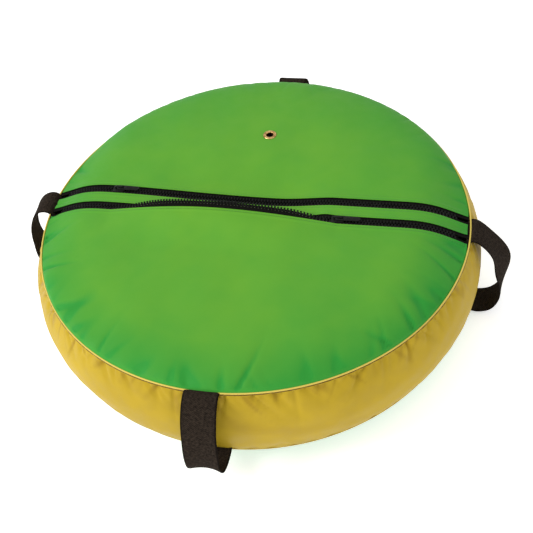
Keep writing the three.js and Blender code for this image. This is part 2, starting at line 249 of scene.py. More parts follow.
def cloth_material(name, light, painted_shade_colour):
    """Coated nylon: a fine weave, with painted light in the middle, painted shade near the rim, most on
    the front, and painted shade in the folds.
    """
    s = Shader(name, light, 0.65, Sheen_Weight=0.04, Sheen_Roughness=0.4, Specular_IOR_Level=0.16)
    x, y, _ = s.split(s.place())
    radius = s.math("SQRT", s.math("ADD", s.math("MULTIPLY", x, x), s.math("MULTIPLY", y, y)))
    # painted light and shade: lighter in the middle of the float, darker towards the rim, more so on
    # the front
    middle = s.ramp(radius, 0.05, 0.24, 0.92, 0.62)
    rim = s.ramp(radius, 0.235, 0.29, 0.0, 0.5)
    rim_shade_front_weight = s.ramp(y, -0.18, 0.22, 1.0, 0.35)
    shade = s.math("SUBTRACT", middle, s.math("MULTIPLY", rim, rim_shade_front_weight))
    along, across, hollow = s.split(s.pattern())
    # painted shade in the hollows of the gathers
    shade = s.math("SUBTRACT", shade, s.ramp(hollow, 0.3, 2.6, 0.0, 0.5))
    patches = s.ramp(s.noise(9.0), 0.35, 0.65, -0.1, 0.1)
    blotches = s.ramp(s.noise(34.0, 4.0), 0.3, 0.7, -0.05, 0.05)
    share = s.math("ADD", s.math("ADD", shade, patches), blotches, clamp=True)
    # the darker colour stands for painted shade, with random patches of tone
    s.colour(share, painted_shade_colour, light)
    s.rough(s.noise(60.0), 0.3, 0.7, 0.56, 0.7)
    s.bump(s.weave(along, across, 0.55, 0.55), 0.05)
    return s.material


def side_material():
    """The yellow nylon of the side band, with a painted highlight on its rolled bead, painted shadow in
    the groove along its seams and painted shade in its folds.
    """
    s = Shader("yellow_nylon", (0.60, 0.42, 0.02), 0.6, Specular_IOR_Level=0.18)
    patches = s.ramp(s.noise(7.0), 0.3, 0.7)
    wear = s.ramp(s.noise(50.0, 4.0), 0.35, 0.65)
    share = s.math("ADD", s.math("MULTIPLY", patches, 0.6), s.math("MULTIPLY", wear, 0.3))
    nylon = s.mix(share, (0.39, 0.262, 0.008), (0.49, 0.335, 0.016))
    along, across, hollow = s.split(s.pattern())
    # painted shade in the hollows of the band's gathers
    nylon = s.mix(s.ramp(hollow, 0.4, 3.0, 0.0, 0.8), nylon, (0.30, 0.185, 0.006))
    from_seam = s.math("MINIMUM", across, s.math("SUBTRACT", BAND_LENGTH, across))
    from_stitch = s.math("ABSOLUTE", s.math("SUBTRACT", from_seam, BAND_STITCH))
    # painted shadow in the groove at each seam's stitches
    groove = s.ramp(from_stitch, 0.55, 1.05, 0.95, 0)
    # painted highlight along the rolled bead at each seam
    bead = s.ramp(from_seam, BAND_STITCH - 1.9, BAND_STITCH - 1.3, 1.0, 0.0)
    groove_shadowed = s.mix(groove, nylon, (0.09, 0.045, 0.006))
    s.colour(bead, groove_shadowed, (0.66, 0.50, 0.10))
    s.rough(wear, 0.0, 1.0, 0.5, 0.64)
    s.bump(s.weave(along, across, 0.55, 0.55), 0.05)
    return s.material


def webbing_material(name, colour, pitch):
    """Woven strap: ribs across it in a herringbone, with painted shade in the weave's hollows, painted
    light on its raised ribs, and darker edges.
    """
    s = Shader(name, colour, 0.95, Specular_IOR_Level=0.04)
    along, across, _ = s.split(s.pattern())
    twill = s.math("ADD", along, s.math("MULTIPLY", s.math("PINGPONG", across, 4.0), 0.8))
    ribs = s.half(s.math("SINE", s.math("MULTIPLY", twill, 2 * PI / pitch)))
    yarns = s.half(s.math("SINE", s.math("MULTIPLY", across, 2 * PI / 1.3)))
    height = s.math("ADD", s.math("MULTIPLY", ribs, 0.7), s.math("MULTIPLY", yarns, 0.3))
    fuzz = s.ramp(s.noise(400.0, 3.0), 0.3, 0.7)
    rubbed = s.ramp(s.noise(0.3, 4.0, 0.65, s.pattern()), 0.36, 0.66, -0.25, 0.3)
    # painted shade and light: the colour follows the weave's height, darker in its hollows and lighter
    # on its ribs
    share = s.math("MULTIPLY", s.math("ADD", height, fuzz), 0.5)
    share = s.math("ADD", share, rubbed, clamp=True)
    dark = tuple(c * 0.3 for c in colour)
    pale = tuple(c * 2.1 for c in colour)
    selvedge = s.ramp(s.math("ABSOLUTE", across), WEB_HALF - 2.5, WEB_HALF - 1.5, 0.0, 0.75)
    s.colour(selvedge, s.mix(share, dark, pale), dark)
    s.rough(fuzz, 0.0, 1.0, 0.85, 1.0)
    s.bump(height, 0.5)
    return s.material


def tape_material():
    """The zippers' woven polyester tape."""
    s = Shader("zipper_tape_weave", (0.006, 0.006, 0.005), 0.9, Specular_IOR_Level=0.06)
    along, across, _ = s.split(s.pattern())
    weave = s.weave(along, across, 0.6, 0.45)
    # painted shade and light: darker in the weave's hollows and lighter on its raised threads
    s.colour(weave, (0.003, 0.003, 0.0025), (0.010, 0.0095, 0.008))
    s.bump(weave, 0.12)
    return s.material


def moulded_material(name, colour, roughness, scratches=0.25):
    """Injection-moulded plastic, with a fine grain and worn, smoother patches."""
    s = Shader(name, colour, roughness, Specular_IOR_Level=0.15)
    grain = s.noise(1800.0, 2.0)
    wear = s.ramp(s.noise(160.0, 4.0), 0.42, 0.66)
    s.rough(wear, 0.0, 1.0, roughness + 0.1, roughness - scratches * 0.5)
    s.colour(wear, colour, tuple(c * 1.7 for c in colour))
    s.bump(grain, 0.03)
    return s.material


def brass_material():
    """Rolled brass, with random patches of brown tarnish."""
    s = Shader("tarnished_brass", (0.72, 0.45, 0.16), 0.28, Metallic=1.0)
    tarnish = s.ramp(s.noise(260.0, 4.0), 0.4, 0.65)
    s.colour(tarnish, (0.78, 0.52, 0.21), (0.34, 0.17, 0.07))
    s.rough(tarnish, 0.0, 1.0, 0.2, 0.45)
    s.bump(s.noise(900.0, 2.0), 0.02)
    return s.material


def rubber_material():
    """Dusty black butyl rubber."""
    s = Shader("inner_tube_rubber", (0.02, 0.02, 0.021), 0.55)
    dust = s.ramp(s.noise(30.0, 5.0), 0.45, 0.7)
    s.colour(dust, (0.016, 0.016, 0.017), (0.05, 0.048, 0.045))
    s.rough(dust, 0.0, 1.0, 0.45, 0.75)
    s.bump(s.noise(700.0, 3.0), 0.05)
    return s.material


def thread_material(name, colour):
    """Twisted sewing thread."""
    s = Shader(name, colour, 0.6, Sheen_Weight=0.2)
    twist = s.noise(2500.0, 1.0)
    s.colour(twist, tuple(c * 0.7 for c in colour), tuple(c * 1.25 for c in colour))
    s.bump(twist, 0.04)
    return s.material


def floor_material():
    """A white light table, lit a little from below as well."""
    s = Shader("studio_floor", (0.93, 0.93, 0.93), 0.9, Specular_IOR_Level=0.0)
    s.main.inputs["Emission Color"].default_value = (1, 1, 1, 1)
    s.main.inputs["Emission Strength"].default_value = 0.5
    return s.material


# ---- meshes ----


def make_piece(name, points, faces, material, node=None, body="cover", pattern=None):
    """A smooth-shaded mesh from points in millimetres, riding on a CAD body in place of node."""
    mesh = bpy.data.meshes.new(name)
    mesh.from_pydata((np.asarray(points, float) * MM).tolist(), [], faces)
    solid = bmesh.new()
    solid.from_mesh(mesh)
    bmesh.ops.recalc_face_normals(solid, faces=solid.faces)
    solid.to_mesh(mesh)
    solid.free()
    mesh.materials.append(material)
    mesh.polygons.foreach_set("use_smooth", [True] * len(mesh.polygons))
    if pattern is not None:
        flat = np.zeros((len(points), 3), np.float32)
        flat[:, : pattern.shape[1]] = pattern
        attribute = mesh.attributes.new("pattern", "FLOAT_VECTOR", "POINT")
        attribute.data.foreach_set("vector", flat.ravel())
    mesh.update()
    piece = put(name, mesh)
    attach(piece, body)
    if node:
        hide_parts(node)
    return piece


def grid_quads(rows, columns, wrap=False, ring=False):
    """Faces of a grid of points. wrap joins its last column to the first, and ring its last row."""
    i, j = np.meshgrid(np.arange(rows - (not ring)), np.arange(columns - (not wrap)), indexing="ij")
    here, below = i * columns, (i + 1) % rows * columns
    beside = (j + 1) % columns
    return np.stack([here + j, here + beside, below + beside, below + j], -1).reshape(-1, 4)


def bar_faces(rings, around):
    """Faces of a closed bar through rings of points, with a flat cap at each end."""
    cap = list(range(around))
    last = list(range((rings - 1) * around, rings * around))
    return [*grid_quads(rings, around, wrap=True).tolist(), cap[::-1], last]


def unit(vectors):
    """Vectors scaled to length 1."""
    return vectors / np.maximum(np.linalg.norm(vectors, axis=-1, keepdims=True), 1e-9)


def grid_normals(grid, ring=False):
    """Unit normals of a grid of points, by central differences."""
    du = np.roll(grid, -1, 0) - np.roll(grid, 1, 0) if ring else np.gradient(grid, axis=0)
    return unit(np.cross(du, np.gradient(grid, axis=1)))


def cloth(name, node, grid, half, material, pattern, flat, area=None, removed=None, ring=False):
    """A sheet of cloth with two sides and closed edges, round a grid of middle points.

    half is half the thickness at each point, and removed marks quads that are cut away.
    With ring the grid's rows run round the float. flat and area are its cut size, in mm, and are not
    used.
    """
    rows, columns = grid.shape[:2]
    offset = grid_normals(grid, ring) * half[..., None]
    points = np.r_[(grid + offset).reshape(-1, 3), (grid - offset).reshape(-1, 3)]
    count = rows * columns
    quads = grid_quads(rows, columns, ring=ring)
    if removed is not None:
        quads = quads[~removed.ravel()]
    edges = np.concatenate([quads[:, [k, (k + 1) % 4]] for k in range(4)])
    keys = edges.min(1) * count + edges.max(1)
    _, place, uses = np.unique(keys, return_index=True, return_counts=True)
    rim = edges[place[uses == 1]]
    walls = np.stack([rim[:, 1], rim[:, 0], rim[:, 0] + count, rim[:, 1] + count], -1)
    faces = np.r_[quads, quads[:, ::-1] + count, walls]
    used = np.unique(faces)
    place = np.full(2 * count, -1)
    place[used] = np.arange(len(used))
    laid = np.concatenate([pattern.reshape(count, -1)] * 2)[used]
    faces = place[faces].tolist()
    piece = make_piece(name, points[used], faces, material, node, pattern=laid)
    area = area and area * MM**2
    flat = (flat[0] * MM, flat[1] * MM)


def swept(name, node, sections, material, pattern):
    """A closed bar through sections (n, k, 3), with a flat cap at each end."""
    faces = bar_faces(*sections.shape[:2])
    points, flat = sections.reshape(-1, 3), pattern.reshape(-1, 2)
    make_piece(name, points, faces, material, node, pattern=flat)


def many(name, faces, placed, material, node=None):
    """One mesh of many copies: placed is (copies, points, 3) and faces are those of one copy."""
    copies, points = placed.shape[:2]
    all_faces = [[index + c * points for index in face] for c in range(copies) for face in faces]
    make_piece(name, placed.reshape(-1, 3), all_faces, material, node)


def turned(name, node, outline, steps, place, axis, material, body="cover"):
    """A closed solid of revolution: outline holds (radius, along) points round axis at place."""
    axis = Vector(axis)
    side = axis.orthogonal().normalized()
    other = axis.cross(side)
    angle = np.arange(steps) * 2 * PI / steps
    ring = np.cos(angle)[:, None] * np.array(side) + np.sin(angle)[:, None] * np.array(other)
    outline = np.array(outline, float)
    points = np.array(place) + ring[:, None, :] * outline[:, :1] + np.array(axis) * outline[:, 1:]
    faces = grid_quads(steps, len(outline), wrap=True, ring=True).tolist()
    return make_piece(name, points.reshape(-1, 3), faces, material, node, body)


def both_sides(points):
    """A closed outline from its half below the first axis, mirrored over that axis."""
    return [*points, *((x, -y) for x, y in reversed(points))]


def rounded(outline, radius, steps=4):
    """An outline with each corner replaced by a short arc of about that radius."""
    outline = np.array(outline, float)
    made = []
    for k, corner in enumerate(outline):
        before, after = outline[k - 1] - corner, outline[(k + 1) % len(outline)] - corner
        reach = min(radius, np.linalg.norm(before) / 2.01, np.linalg.norm(after) / 2.01)
        start, end = corner + unit(before) * reach, corner + unit(after) * reach
        for t in np.linspace(0, 1, steps + 1):
            made.append((1 - t) ** 2 * start + 2 * t * (1 - t) * corner + t**2 * end)
    return np.array(made)


def inset(outline, distance):
    """A convex, anticlockwise outline moved inwards."""
    along = np.roll(outline, -1, 0) - np.roll(outline, 1, 0)
    return outline + unit(np.stack([-along[:, 1], along[:, 0]], -1)) * distance


def puck(outline, low, high, bevel, steps=3):
    """Points and faces of a plate with rounded upper and lower edges."""
    layers = []
    for k in range(steps + 1):
        angle = PI / 2 * k / steps
        layers.append((bevel * (1 - sin(angle)), low + bevel * (1 - cos(angle))))
    layers += [(cut, low + high - z) for cut, z in reversed(layers)]
    n = len(outline)
    points = [np.column_stack([inset(outline, cut), np.full(n, z)]) for cut, z in layers]
    return np.concatenate(points), bar_faces(len(layers), n)


# ---- the shape of the cover ----


def smooth(value, low, high):
    """From 0 below low to 1 above high, turning gently at both."""
    t = np.clip((value - low) / (high - low), 0, 1)
    return t * t * (3 - 2 * t)


def bell(value, width):
    """A smooth bump, 1 at 0."""
    return np.exp(-((value / width) ** 2))


def seam_height(theta):
    """Height of the top rim seam round the float."""
    return SEAM_HIGH_Z - SEAM_WAVE * np.cos(2 * theta)


def shoulder_height(r, theta):
    """The top without its mouth: flat in the middle and turning down to the rim seam."""
    t = np.clip((r - FLAT_R) / (SEAM_R - FLAT_R), 0, 1)
    away_from_zippers = smooth(np.abs(np.sin(theta)), 0.1, 0.6)
    power = ZIPPER_FULLNESS + (FULLNESS - ZIPPER_FULLNESS) * away_from_zippers
    drop = HEIGHT - seam_height(theta)
    return HEIGHT - drop * (1 - (1 - t**SHOULDER_POWER) ** power)


def hump(x, start, peak, end, power=1.5):
    """A rise from 0 at start to 1 at peak, and back to 0 at end."""
    t = np.where(x < peak, (x - start) / (peak - start), (end - x) / (end - peak))
    return np.sin(PI / 2 * np.clip(t, 0, 1)) ** power


def lip_lift(x):
    """Height of the front zipper's front edge over the flat top."""
    return LIP_LIFT * hump(x, OPEN_LEFT, LIP_PEAK_X, SLIDER_X, 1.0) - VALLEY


def strip_sag(x):
    """Height of the hanging strip behind the mouth over the flat top."""
    return -SAG_DEPTH * hump(x, OPEN_LEFT, SAG_PEAK_X, OPEN_RIGHT) - VALLEY


def bare_height(x, y):
    """Height of the cover's top with the mouth's lifted lip and hanging strip."""
    x, y = np.broadcast_arrays(np.asarray(x, float), np.asarray(y, float))
    r, theta = np.hypot(x, y), np.arctan2(y, x)
    front_edge, rear_edge = -ZIP_Y - BAND_HALF, ZIP_Y + BAND_HALF
    lip = lip_lift(x) * (1 - smooth(front_edge - y, 0, LIP_FADE))
    strip = strip_sag(x)
    behind = strip * (1 - smooth(y - rear_edge, 0, SAG_FADE))
    zipped = smooth(x, OPEN_RIGHT - 25, OPEN_RIGHT) * smooth(-y, -ZIP_Y / 2, ZIP_Y / 2)
    strip = strip + zipped * (lip_lift(x) - strip)
    shift = np.where(y < -ZIP_Y, lip, np.where(y > rear_edge, behind, strip))
    fade = 1 - smooth(r, FLAT_R, FLAT_R + 60)
    return shoulder_height(r, theta) + shift * fade


def puckers(count, width, length, depth, spread):
    """Gathers along the rim seam, each (place along it, width, length, depth, slant)."""
    places = (np.arange(count) + random.uniform(-0.4, 0.4, count)) / count * 2 * PI * SEAM_R
    return [
        (place, width * random.uniform(0.6, 1.5), length * random.uniform(0.5, 1.5),
         depth * random.uniform(0.15, 1.0) ** 1.3, random.uniform(-spread, spread))
        for place in places
    ]


def pucker_depth(gathers, along, away):
    """How deep the gathers are at a place along the seam and a distance away from it."""
    total = np.zeros(np.broadcast(along, away).shape)
    around = 2 * PI * SEAM_R
    for place, width, length, depth, slant in gathers:
        centre = place + slant * away
        gap = (along - centre + around / 2) % around - around / 2
        reach = np.clip(away / length, 0, None)
        wide = width * (1 + 0.5 * reach)
        total += depth * bell(gap, wide) * np.exp(-(reach**1.5))
    return total


def waves(x, y, seed, lengths, height):
    """Soft swells in the cloth, the sum of a few sine waves in seeded directions."""
    turn = np.random.default_rng(seed)
    total = np.zeros(np.broadcast(x, y).shape)
    for length in lengths:
        angle, phase = turn.uniform(0, 2 * PI, 2)
        total += height * np.sin(2 * PI * (x * cos(angle) + y * sin(angle)) / length + phase)
    return total


# in the green top, and at the top and bottom of the yellow band
TOP_GATHERS = puckers(84, 4.2, 26.0, 4.4, 0.7)
BAND_GATHERS = puckers(190, 2.5, 20.0, 5.0, 1.1)
LOW_GATHERS = puckers(110, 4.4, 24.0, 2.6, 0.6)


def gather_depth(x, y):
    """How deep the top's gathers are at a place, in millimetres."""
    r, theta = np.hypot(x, y), np.arctan2(y, x)
    along, away = (theta % (2 * PI)) * SEAM_R, SEAM_R - r
    drawn = 1 - 0.7 * smooth(np.sin(theta), 0.1, 0.6)  # the rear is pulled smoother
    return pucker_depth(TOP_GATHERS, along, np.maximum(away, 0)) * smooth(away, 0, 5) * drawn


def cloth_height(x, y):
    """The top's height with its puckers and swells."""
    away = SEAM_R - np.hypot(x, y)
    edge = np.abs(np.abs(y) - ZIP_Y) - BAND_HALF
    calm = smooth(edge, 0, 30) * smooth(away, 0, 25)
    return bare_height(x, y) - gather_depth(x, y) + calm * waves(x, y, 3, (170, 120, 95, 75), 0.35)


def hem_profile(distance):
    """Height of a folded and stitched edge over the plain cloth."""
    fold = 0.7 * (1 - smooth(distance, 5.5, 9.0))
    dip = 0.75 * bell(distance - STITCH_IN, 0.9)
    return fold - dip


def tuck(away):
    """Share by which cloth turns in under a rim seam, at a distance from it."""
    return 1 - smooth(away, 0, 3.4)


def edge_thickness(distance, half):
    """Half thickness near an edge, which closes in a half circle."""
    t = np.clip(distance / half, 0, 1)
    return half * np.sqrt(np.maximum(1 - (1 - t) ** 2, 1e-4))


# ---- top of the cover ----

STATION_END = SEAM_R - 3.7
NEAR_EDGE = np.array([
    0, 0.12, 0.3, 0.55, 1.0, 1.6, 2.2, 2.7, 3.2, 3.7, 4.2, 4.8, 5.5, 6.4, 7.4, 8.6, 10, 12, 14.5,
])
NEAR_RIM = np.array([0, 0.12, 0.3, 0.55, 1.1, 1.8, 2.6, 3.6, 4.8, 6.4, 8.4, 11, 14, 17])
HOLE_STEPS = np.arange(-10, 11) * 0.9
RIM_TUCK = 1.6


def stations_across(extra=()):
    """Places along X, closer together near the rim and where extra asks for them."""
    places = STATION_END * np.sin(PI * np.linspace(-0.5, 0.5, 233))
    return np.unique(np.r_[places, extra])


def panel_rows(width, dense_at):
    """Distances from the zipper's edge to the rim, fine at both and round dense_at."""
    scale = min(1.0, width / 60)
    near, far = NEAR_EDGE * scale, width - NEAR_RIM[::-1] * scale
    span = far[0] - near[-1]
    fine = (dense_at - NEAR_EDGE[-1] + HOLE_STEPS) / 230
    share = np.unique(np.r_[np.linspace(0, 1, 76)[1:-1], fine])
    return np.r_[near, near[-1] + span * share, far]


def top_panel(side, name, node, material):
    """One half of the green top, from its zipper's edge to the rim seam."""
    edge, rear = ZIP_Y + BAND_HALF, side > 0
    grid, halves, pattern = [], [], []
    for x in stations_across(HOLE_STEPS if rear else ()):
        distance = panel_rows(sqrt(SEAM_R**2 - x**2) - edge, EYELET_Y - edge)
        y = side * (edge + distance)
        at_x = np.full_like(y, x)
        from_rim = SEAM_R - np.hypot(x, y)
        height = cloth_height(at_x, y)
        height += hem_profile(distance) * smooth(from_rim, 0, 12)
        height -= RIM_TUCK * tuck(from_rim)
        if rear:
            height -= 0.5 * bell(np.hypot(x, y - EYELET_Y) - 8, 7)
        grid.append(np.column_stack([at_x, y, height - CLOTH / 2]))
        near = np.minimum(distance, np.maximum(from_rim, 0))
        halves.append(edge_thickness(near, CLOTH / 2))
        pattern.append(np.column_stack([at_x, y, gather_depth(x, y)]))
    order = 1 if rear else -1
    grid, halves, pattern = (np.array(rows)[::order] for rows in (grid, halves, pattern))
    removed = None
    if rear:
        middles = (grid[:-1, :-1] + grid[1:, 1:]) / 2
        removed = np.hypot(middles[..., 0], middles[..., 1] - EYELET_Y) < EYELET_BORE + 1.5
    flat = (2 * SEAM_R, SEAM_R - edge)
    segment = SEAM_R**2 * acos(edge / SEAM_R) - edge * sqrt(SEAM_R**2 - edge**2)
    cloth(
        name, node, grid, halves, material, pattern, flat, segment * EASE, removed
    )


def centre_strip(material):
    """The strip of green cloth between the two zippers, folded under along both edges."""
    half_width = ZIP_Y - BAND_HALF
    near = NEAR_EDGE[NEAR_EDGE < 8.0]
    distance = np.r_[near, half_width, 2 * half_width - near[::-1]]
    from_edge = np.minimum(distance, 2 * half_width - distance)
    x, y = np.meshgrid(stations_across(), distance - half_width, indexing="ij")
    height = cloth_height(x, y) + hem_profile(from_edge) * 0.8
    height -= RIM_TUCK * tuck(SEAM_R - np.hypot(x, y))
    grid = np.stack([x, y, height - CLOTH / 2], -1)
    near_end = np.minimum(from_edge, STATION_END - np.abs(x))
    halves = edge_thickness(np.maximum(near_end, 0), CLOTH / 2)
    flat = (2 * half_width, 2 * STATION_END * 1.04)
    pattern = np.stack([x, y], -1)
    cloth("centre_strip_cloth", "centre_strip", grid, halves, material, pattern, flat)


# ---- side band and bottom ----

AROUND = 900  # points round the band


def band_profile(top_z, share):
    """The band's plain profile at a share of its height below the top seam: (r, z)."""
    bulge = (OUTER_R - SEAM_R) * (1 - (2 * share - 1) ** 2)
    return SEAM_R + bulge, top_z + (SEAM_LOW_Z - top_z) * share


def side_band(material):
    """The yellow band, rolled over and stitched along both rim seams, puckered by them."""
    theta = (np.arange(AROUND) / AROUND * 2 * PI)[:, None]
    length = BAND_LENGTH
    fine = np.array([1.3, 1.7, 2.1, 2.5, 2.9, 3.4, 4.2, 5.3, 7, 9, 11.5, 14.5, 18, 22, 27])
    away = np.r_[fine, np.linspace(33, length - 33, 10), length - fine[::-1]]
    from_seam = np.minimum(away, length - away)
    top_z = seam_height(theta)
    r, z = band_profile(top_z, away / length)
    along = theta * SEAM_R
    gathers = pucker_depth(BAND_GATHERS, along, away)
    low = pucker_depth(LOW_GATHERS, along, length - away)
    groove = 0.8 * bell(from_seam - BAND_STITCH, 0.6)
    swell = waves(along, away * 3, 11, (314, 183, 97), 0.35) * smooth(from_seam, 5, 35)
    outward = -(gathers + low) * smooth(from_seam, 2.0, 5.5) - groove + swell
    bead = np.linspace(200, -20, 9) * PI / 180
    roll_r = np.r_[SEAM_R - 0.6, SEAM_R + 0.4 + BEAD_R * np.cos(bead)]
    start_r = roll_r * np.ones_like(theta)
    start_z = top_z + np.r_[-3.5, BEAD_R * np.sin(bead) - 0.6]
    end_z = 2 * SEAM_LOW_Z - (start_z - top_z + SEAM_LOW_Z)[:, ::-1]
    all_r = np.concatenate([start_r, r + outward, start_r[:, ::-1]], 1)
    all_z = np.concatenate([start_z, z, end_z], 1)
    grid = np.stack([all_r * np.cos(theta), all_r * np.sin(theta), all_z], -1)[::-1]
    extra = np.arange(len(roll_r)) * 0.5
    across = np.r_[extra - extra[-1], away, away[-1] + extra]
    hollow = np.zeros(grid.shape[:2])
    hollow[:, len(roll_r) : len(roll_r) + len(away)] = -outward
    # The painted fold shade runs the other way round the band than its folds do.
    pattern = np.stack(np.broadcast_arrays(along, across, hollow[::-1]), -1)[::-1]
    halves = np.full(grid.shape[:2], CLOTH / 2)
    halves[:, [0, -1]] = 0.1
    flat, slot = (2 * PI * OUTER_R, length), "yellow_cloth"
    cloth("side_band_cloth", "side_band", grid, halves, material, pattern, flat, ring=True)


def disc_grid(n, radius):
    """A square grid mapped evenly onto a disc, as x and y."""
    t = np.linspace(-1, 1, n)
    a, b = np.meshgrid(t, t, indexing="ij")
    wide = np.abs(a) >= np.abs(b)
    r = np.where(wide, a, b)
    with np.errstate(divide="ignore", invalid="ignore"):
        turn = np.where(wide, PI / 4 * b / a, PI / 2 - PI / 4 * a / b)
    turn = np.nan_to_num(turn)
    reach = radius * np.sign(r) * np.sin(PI / 2 * np.abs(r)) ** 0.94
    return reach * np.cos(turn), reach * np.sin(turn)


def bottom_panel(material):
    """The underside: flat on the ground and turning up to the lower rim seam."""
    x, y = disc_grid(181, SEAM_R)
    r, theta = np.hypot(x, y), np.arctan2(y, x)
    t = np.clip((r - FLAT_R) / (SEAM_R - FLAT_R), 0, 1)
    away = np.maximum(SEAM_R - r, 0)
    along = (theta % (2 * PI)) * SEAM_R
    height = SEAM_LOW_Z * t**BASE_POWER
    height += pucker_depth(LOW_GATHERS, along, away) * smooth(away, 0, 5) * 1.4
    height += 1.4 * tuck(away)
    height += CLOTH / 2 + 0.5 * (1 + waves(x, y, 5, (150, 90), 0.5)) * smooth(r, 150, 215)
    grid = np.stack([x, y, height], -1)[:, ::-1]
    halves = edge_thickness(away, CLOTH / 2)[:, ::-1]
    pattern = np.stack([x, y], -1)[:, ::-1]
    flat, area = (2 * SEAM_R, 2 * SEAM_R), PI * SEAM_R**2 * EASE
    cloth("bottom_cloth", "bottom_panel", grid, halves, material, pattern, flat, area)


# ---- inflated ring, valve and eyelet ----


def inner_tube(material):
    """The rubber ring, with the parting lines and ribs of its mould."""
    half_height = (TUBE_HIGH[2] - TUBE_LOW[2]) / 2
    around, section = 300, 96
    theta = np.arange(around) / around * 2 * PI
    phi = np.arange(section) / section * 2 * PI
    theta, phi = np.meshgrid(theta, phi, indexing="ij")
    parting = 0.5 * bell(np.sin(phi), 0.02)
    ribs = 0.35 * np.maximum(0, np.cos(phi * 24)) ** 4 * (np.abs(np.sin(phi)) > 0.7)
    r = TUBE_HIGH[0] - TUBE_HALF_WIDTH + (TUBE_HALF_WIDTH - 0.8 + parting + ribs) * np.cos(phi)
    z = (TUBE_LOW[2] + TUBE_HIGH[2]) / 2 + (half_height - 0.8 + parting + ribs) * np.sin(phi)
    points = np.stack([r * np.cos(theta), r * np.sin(theta), z], -1).reshape(-1, 3)
    faces = grid_quads(around, section, wrap=True, ring=True).tolist()
    make_piece("inner_tube_rubber", points, faces, material, "inner_tube")


def valve(rubber, brass, plastic):
    """The tube's valve, which points into the pocket: stem, core and ribbed cap."""
    x, _, z = middle_mm("valve_stem")
    place = (x, box_mm("valve_stem")[1][1] - 3.5, z)
    axis = (0, -1, 0)
    threads = []
    for k in range(12):
        threads += [(3.7, 22 + k * 1.1), (4.0, 22.5 + k * 1.1)]
    stem = [
        (2, -3.5), (4.6, -3.5), (4.6, 1.6), (10.6, 1.6), (11, 2.4), (10.6, 3.1), (9, 4.1),
        (7.5, 5), (6.4, 8), (5.5, 12), (4.6, 13.6), (4, 14), (4, 21.6), *threads, (3.7, 36), (2, 36),
    ]
    core = [(0.01, 12), (1.5, 12), (1.5, 26), (0.8, 27), (0.8, 34.8), (0.5, 35), (0.01, 35)]
    cap = [
        (0.01, 37), (4.4, 37), (4.4, 24), (5.6, 24), (6, 24.5), (6, 37.4), (5.6, 38.6), (4.6, 39.4),
        (0.01, 39.5),
    ]
    turned("valve_stem_rubber", "valve_stem", stem, 48, place, axis, rubber)
    turned("valve_core_brass", "valve_core", core, 24, place, axis, brass)
    ribbed = turned(
        "valve_cap_ribbed", "valve_cap", cap, 96, place, axis, plastic, "valve_cap"
    )
    for vertex in ribbed.data.vertices:
        across = Vector((vertex.co.x - place[0] * MM, vertex.co.z - place[2] * MM))
        if across.length > 5.5 * MM:
            turn = atan2(across.y, across.x)
            scale = 1 - 0.05 * max(0, cos(24 * turn))
            vertex.co.x = place[0] * MM + across.x * scale
            vertex.co.z = place[2] * MM + across.y * scale


def eyelet(material):
    """A rolled brass eyelet and its washer under the cloth."""
    bore, sleeve = EYELET_BORE, EYELET_BORE + 0.9
    rolled = [(7.6 + 2.35 * cos(a), 0.35 + 1.55 * sin(a)) for a in np.linspace(0, PI, 15)]
    ring = [(bore, -4), (sleeve, -4), (sleeve, 0.1), (9.7, 0.1), *rolled[:-1], (bore, 0.4)]
    low, high = box_mm("eyelet_washer")
    inner, outer, bevel = sleeve + 0.3, high[0], 0.3
    under, over = low[2] - HEIGHT, high[2] - HEIGHT
    washer = [
        (inner, under), (outer - bevel, under), (outer, under + bevel),
        (outer, over - bevel), (outer - bevel, over), (inner, over),
    ]
    for part, outline, top in (("ring", ring, HEIGHT - 0.4), ("washer", washer, HEIGHT)):
        place = (0, EYELET_Y, top)
        turned(f"eyelet_{part}_brass", f"eyelet_{part}", outline, 72, place, (0, 0, 1), material)


# ---- stitches ----


def stitch_template(sides=6, rings=5):
    """A short bar of thread with pointed ends: (along, angle, radius) for each point."""
    rows = []
    for k in range(rings):
        t = -1 + 2 * k / (rings - 1)
        rows += [(t, 2 * PI * s / sides, max(0.18, 1 - t**4)) for s in range(sides)]
    return np.array(rows), bar_faces(rings, sides)


def stitches(name, path, normals, pitch, length, radius, material):
    """Thread that shows between the needle holes along a path on the cloth."""
    steps = np.linalg.norm(np.diff(path, axis=0), axis=1)
    run = np.r_[0, np.cumsum(steps)]
    places = np.arange(pitch / 2, run[-1], pitch)

    def at(values, where):
        return np.stack([np.interp(where, run, values[:, k]) for k in range(3)], -1)

    template, faces = stitch_template()
    t, angle, size = template.T
    along = unit(at(path, places + 0.5) - at(path, places - 0.5))
    up = at(normals, places)
    up = unit(up - along * (up * along).sum(1, keepdims=True))
    rise = 0.35 * radius - 0.9 * radius * t**2
    placed = (
        at(path, places)[:, None]
        + along[:, None] * (t * length / 2)[:, None]
        + up[:, None] * (rise + radius * size * np.sin(angle))[:, None]
        + np.cross(along, up)[:, None] * (radius * size * np.cos(angle))[:, None]
    )
    many(name, faces, placed, material)


def zipper_edge_stitches(name, y, material):
    """A row of stitches in the green cloth, along one zipper."""
    rim = sqrt((SEAM_R - 5) ** 2 - y**2)
    x = np.linspace(-rim, rim, 700)
    y = np.full_like(x, y)
    path = np.stack([x, y, cloth_height(x, y) + hem_profile(np.array(STITCH_IN))], -1)
    normals = np.tile([0.0, 0.0, 1.0], (len(x), 1))
    stitches(name, path, normals, 3.6, 2.9, 0.34, material)


def tape_stitches(half, material):
    """The pale stitches that hold a row of teeth to its tape, on the side nearer the front."""
    x = np.linspace(-270, 270, 900)
    path = half_point(half, x, 2.0, TAPE_TOP + 0.05)
    normals = half_point(half, x, 2.0, TAPE_TOP + 1.05) - path
    stitches(f"{half}_stitches", path, normals, 4.65, 1.3, 0.26, material)


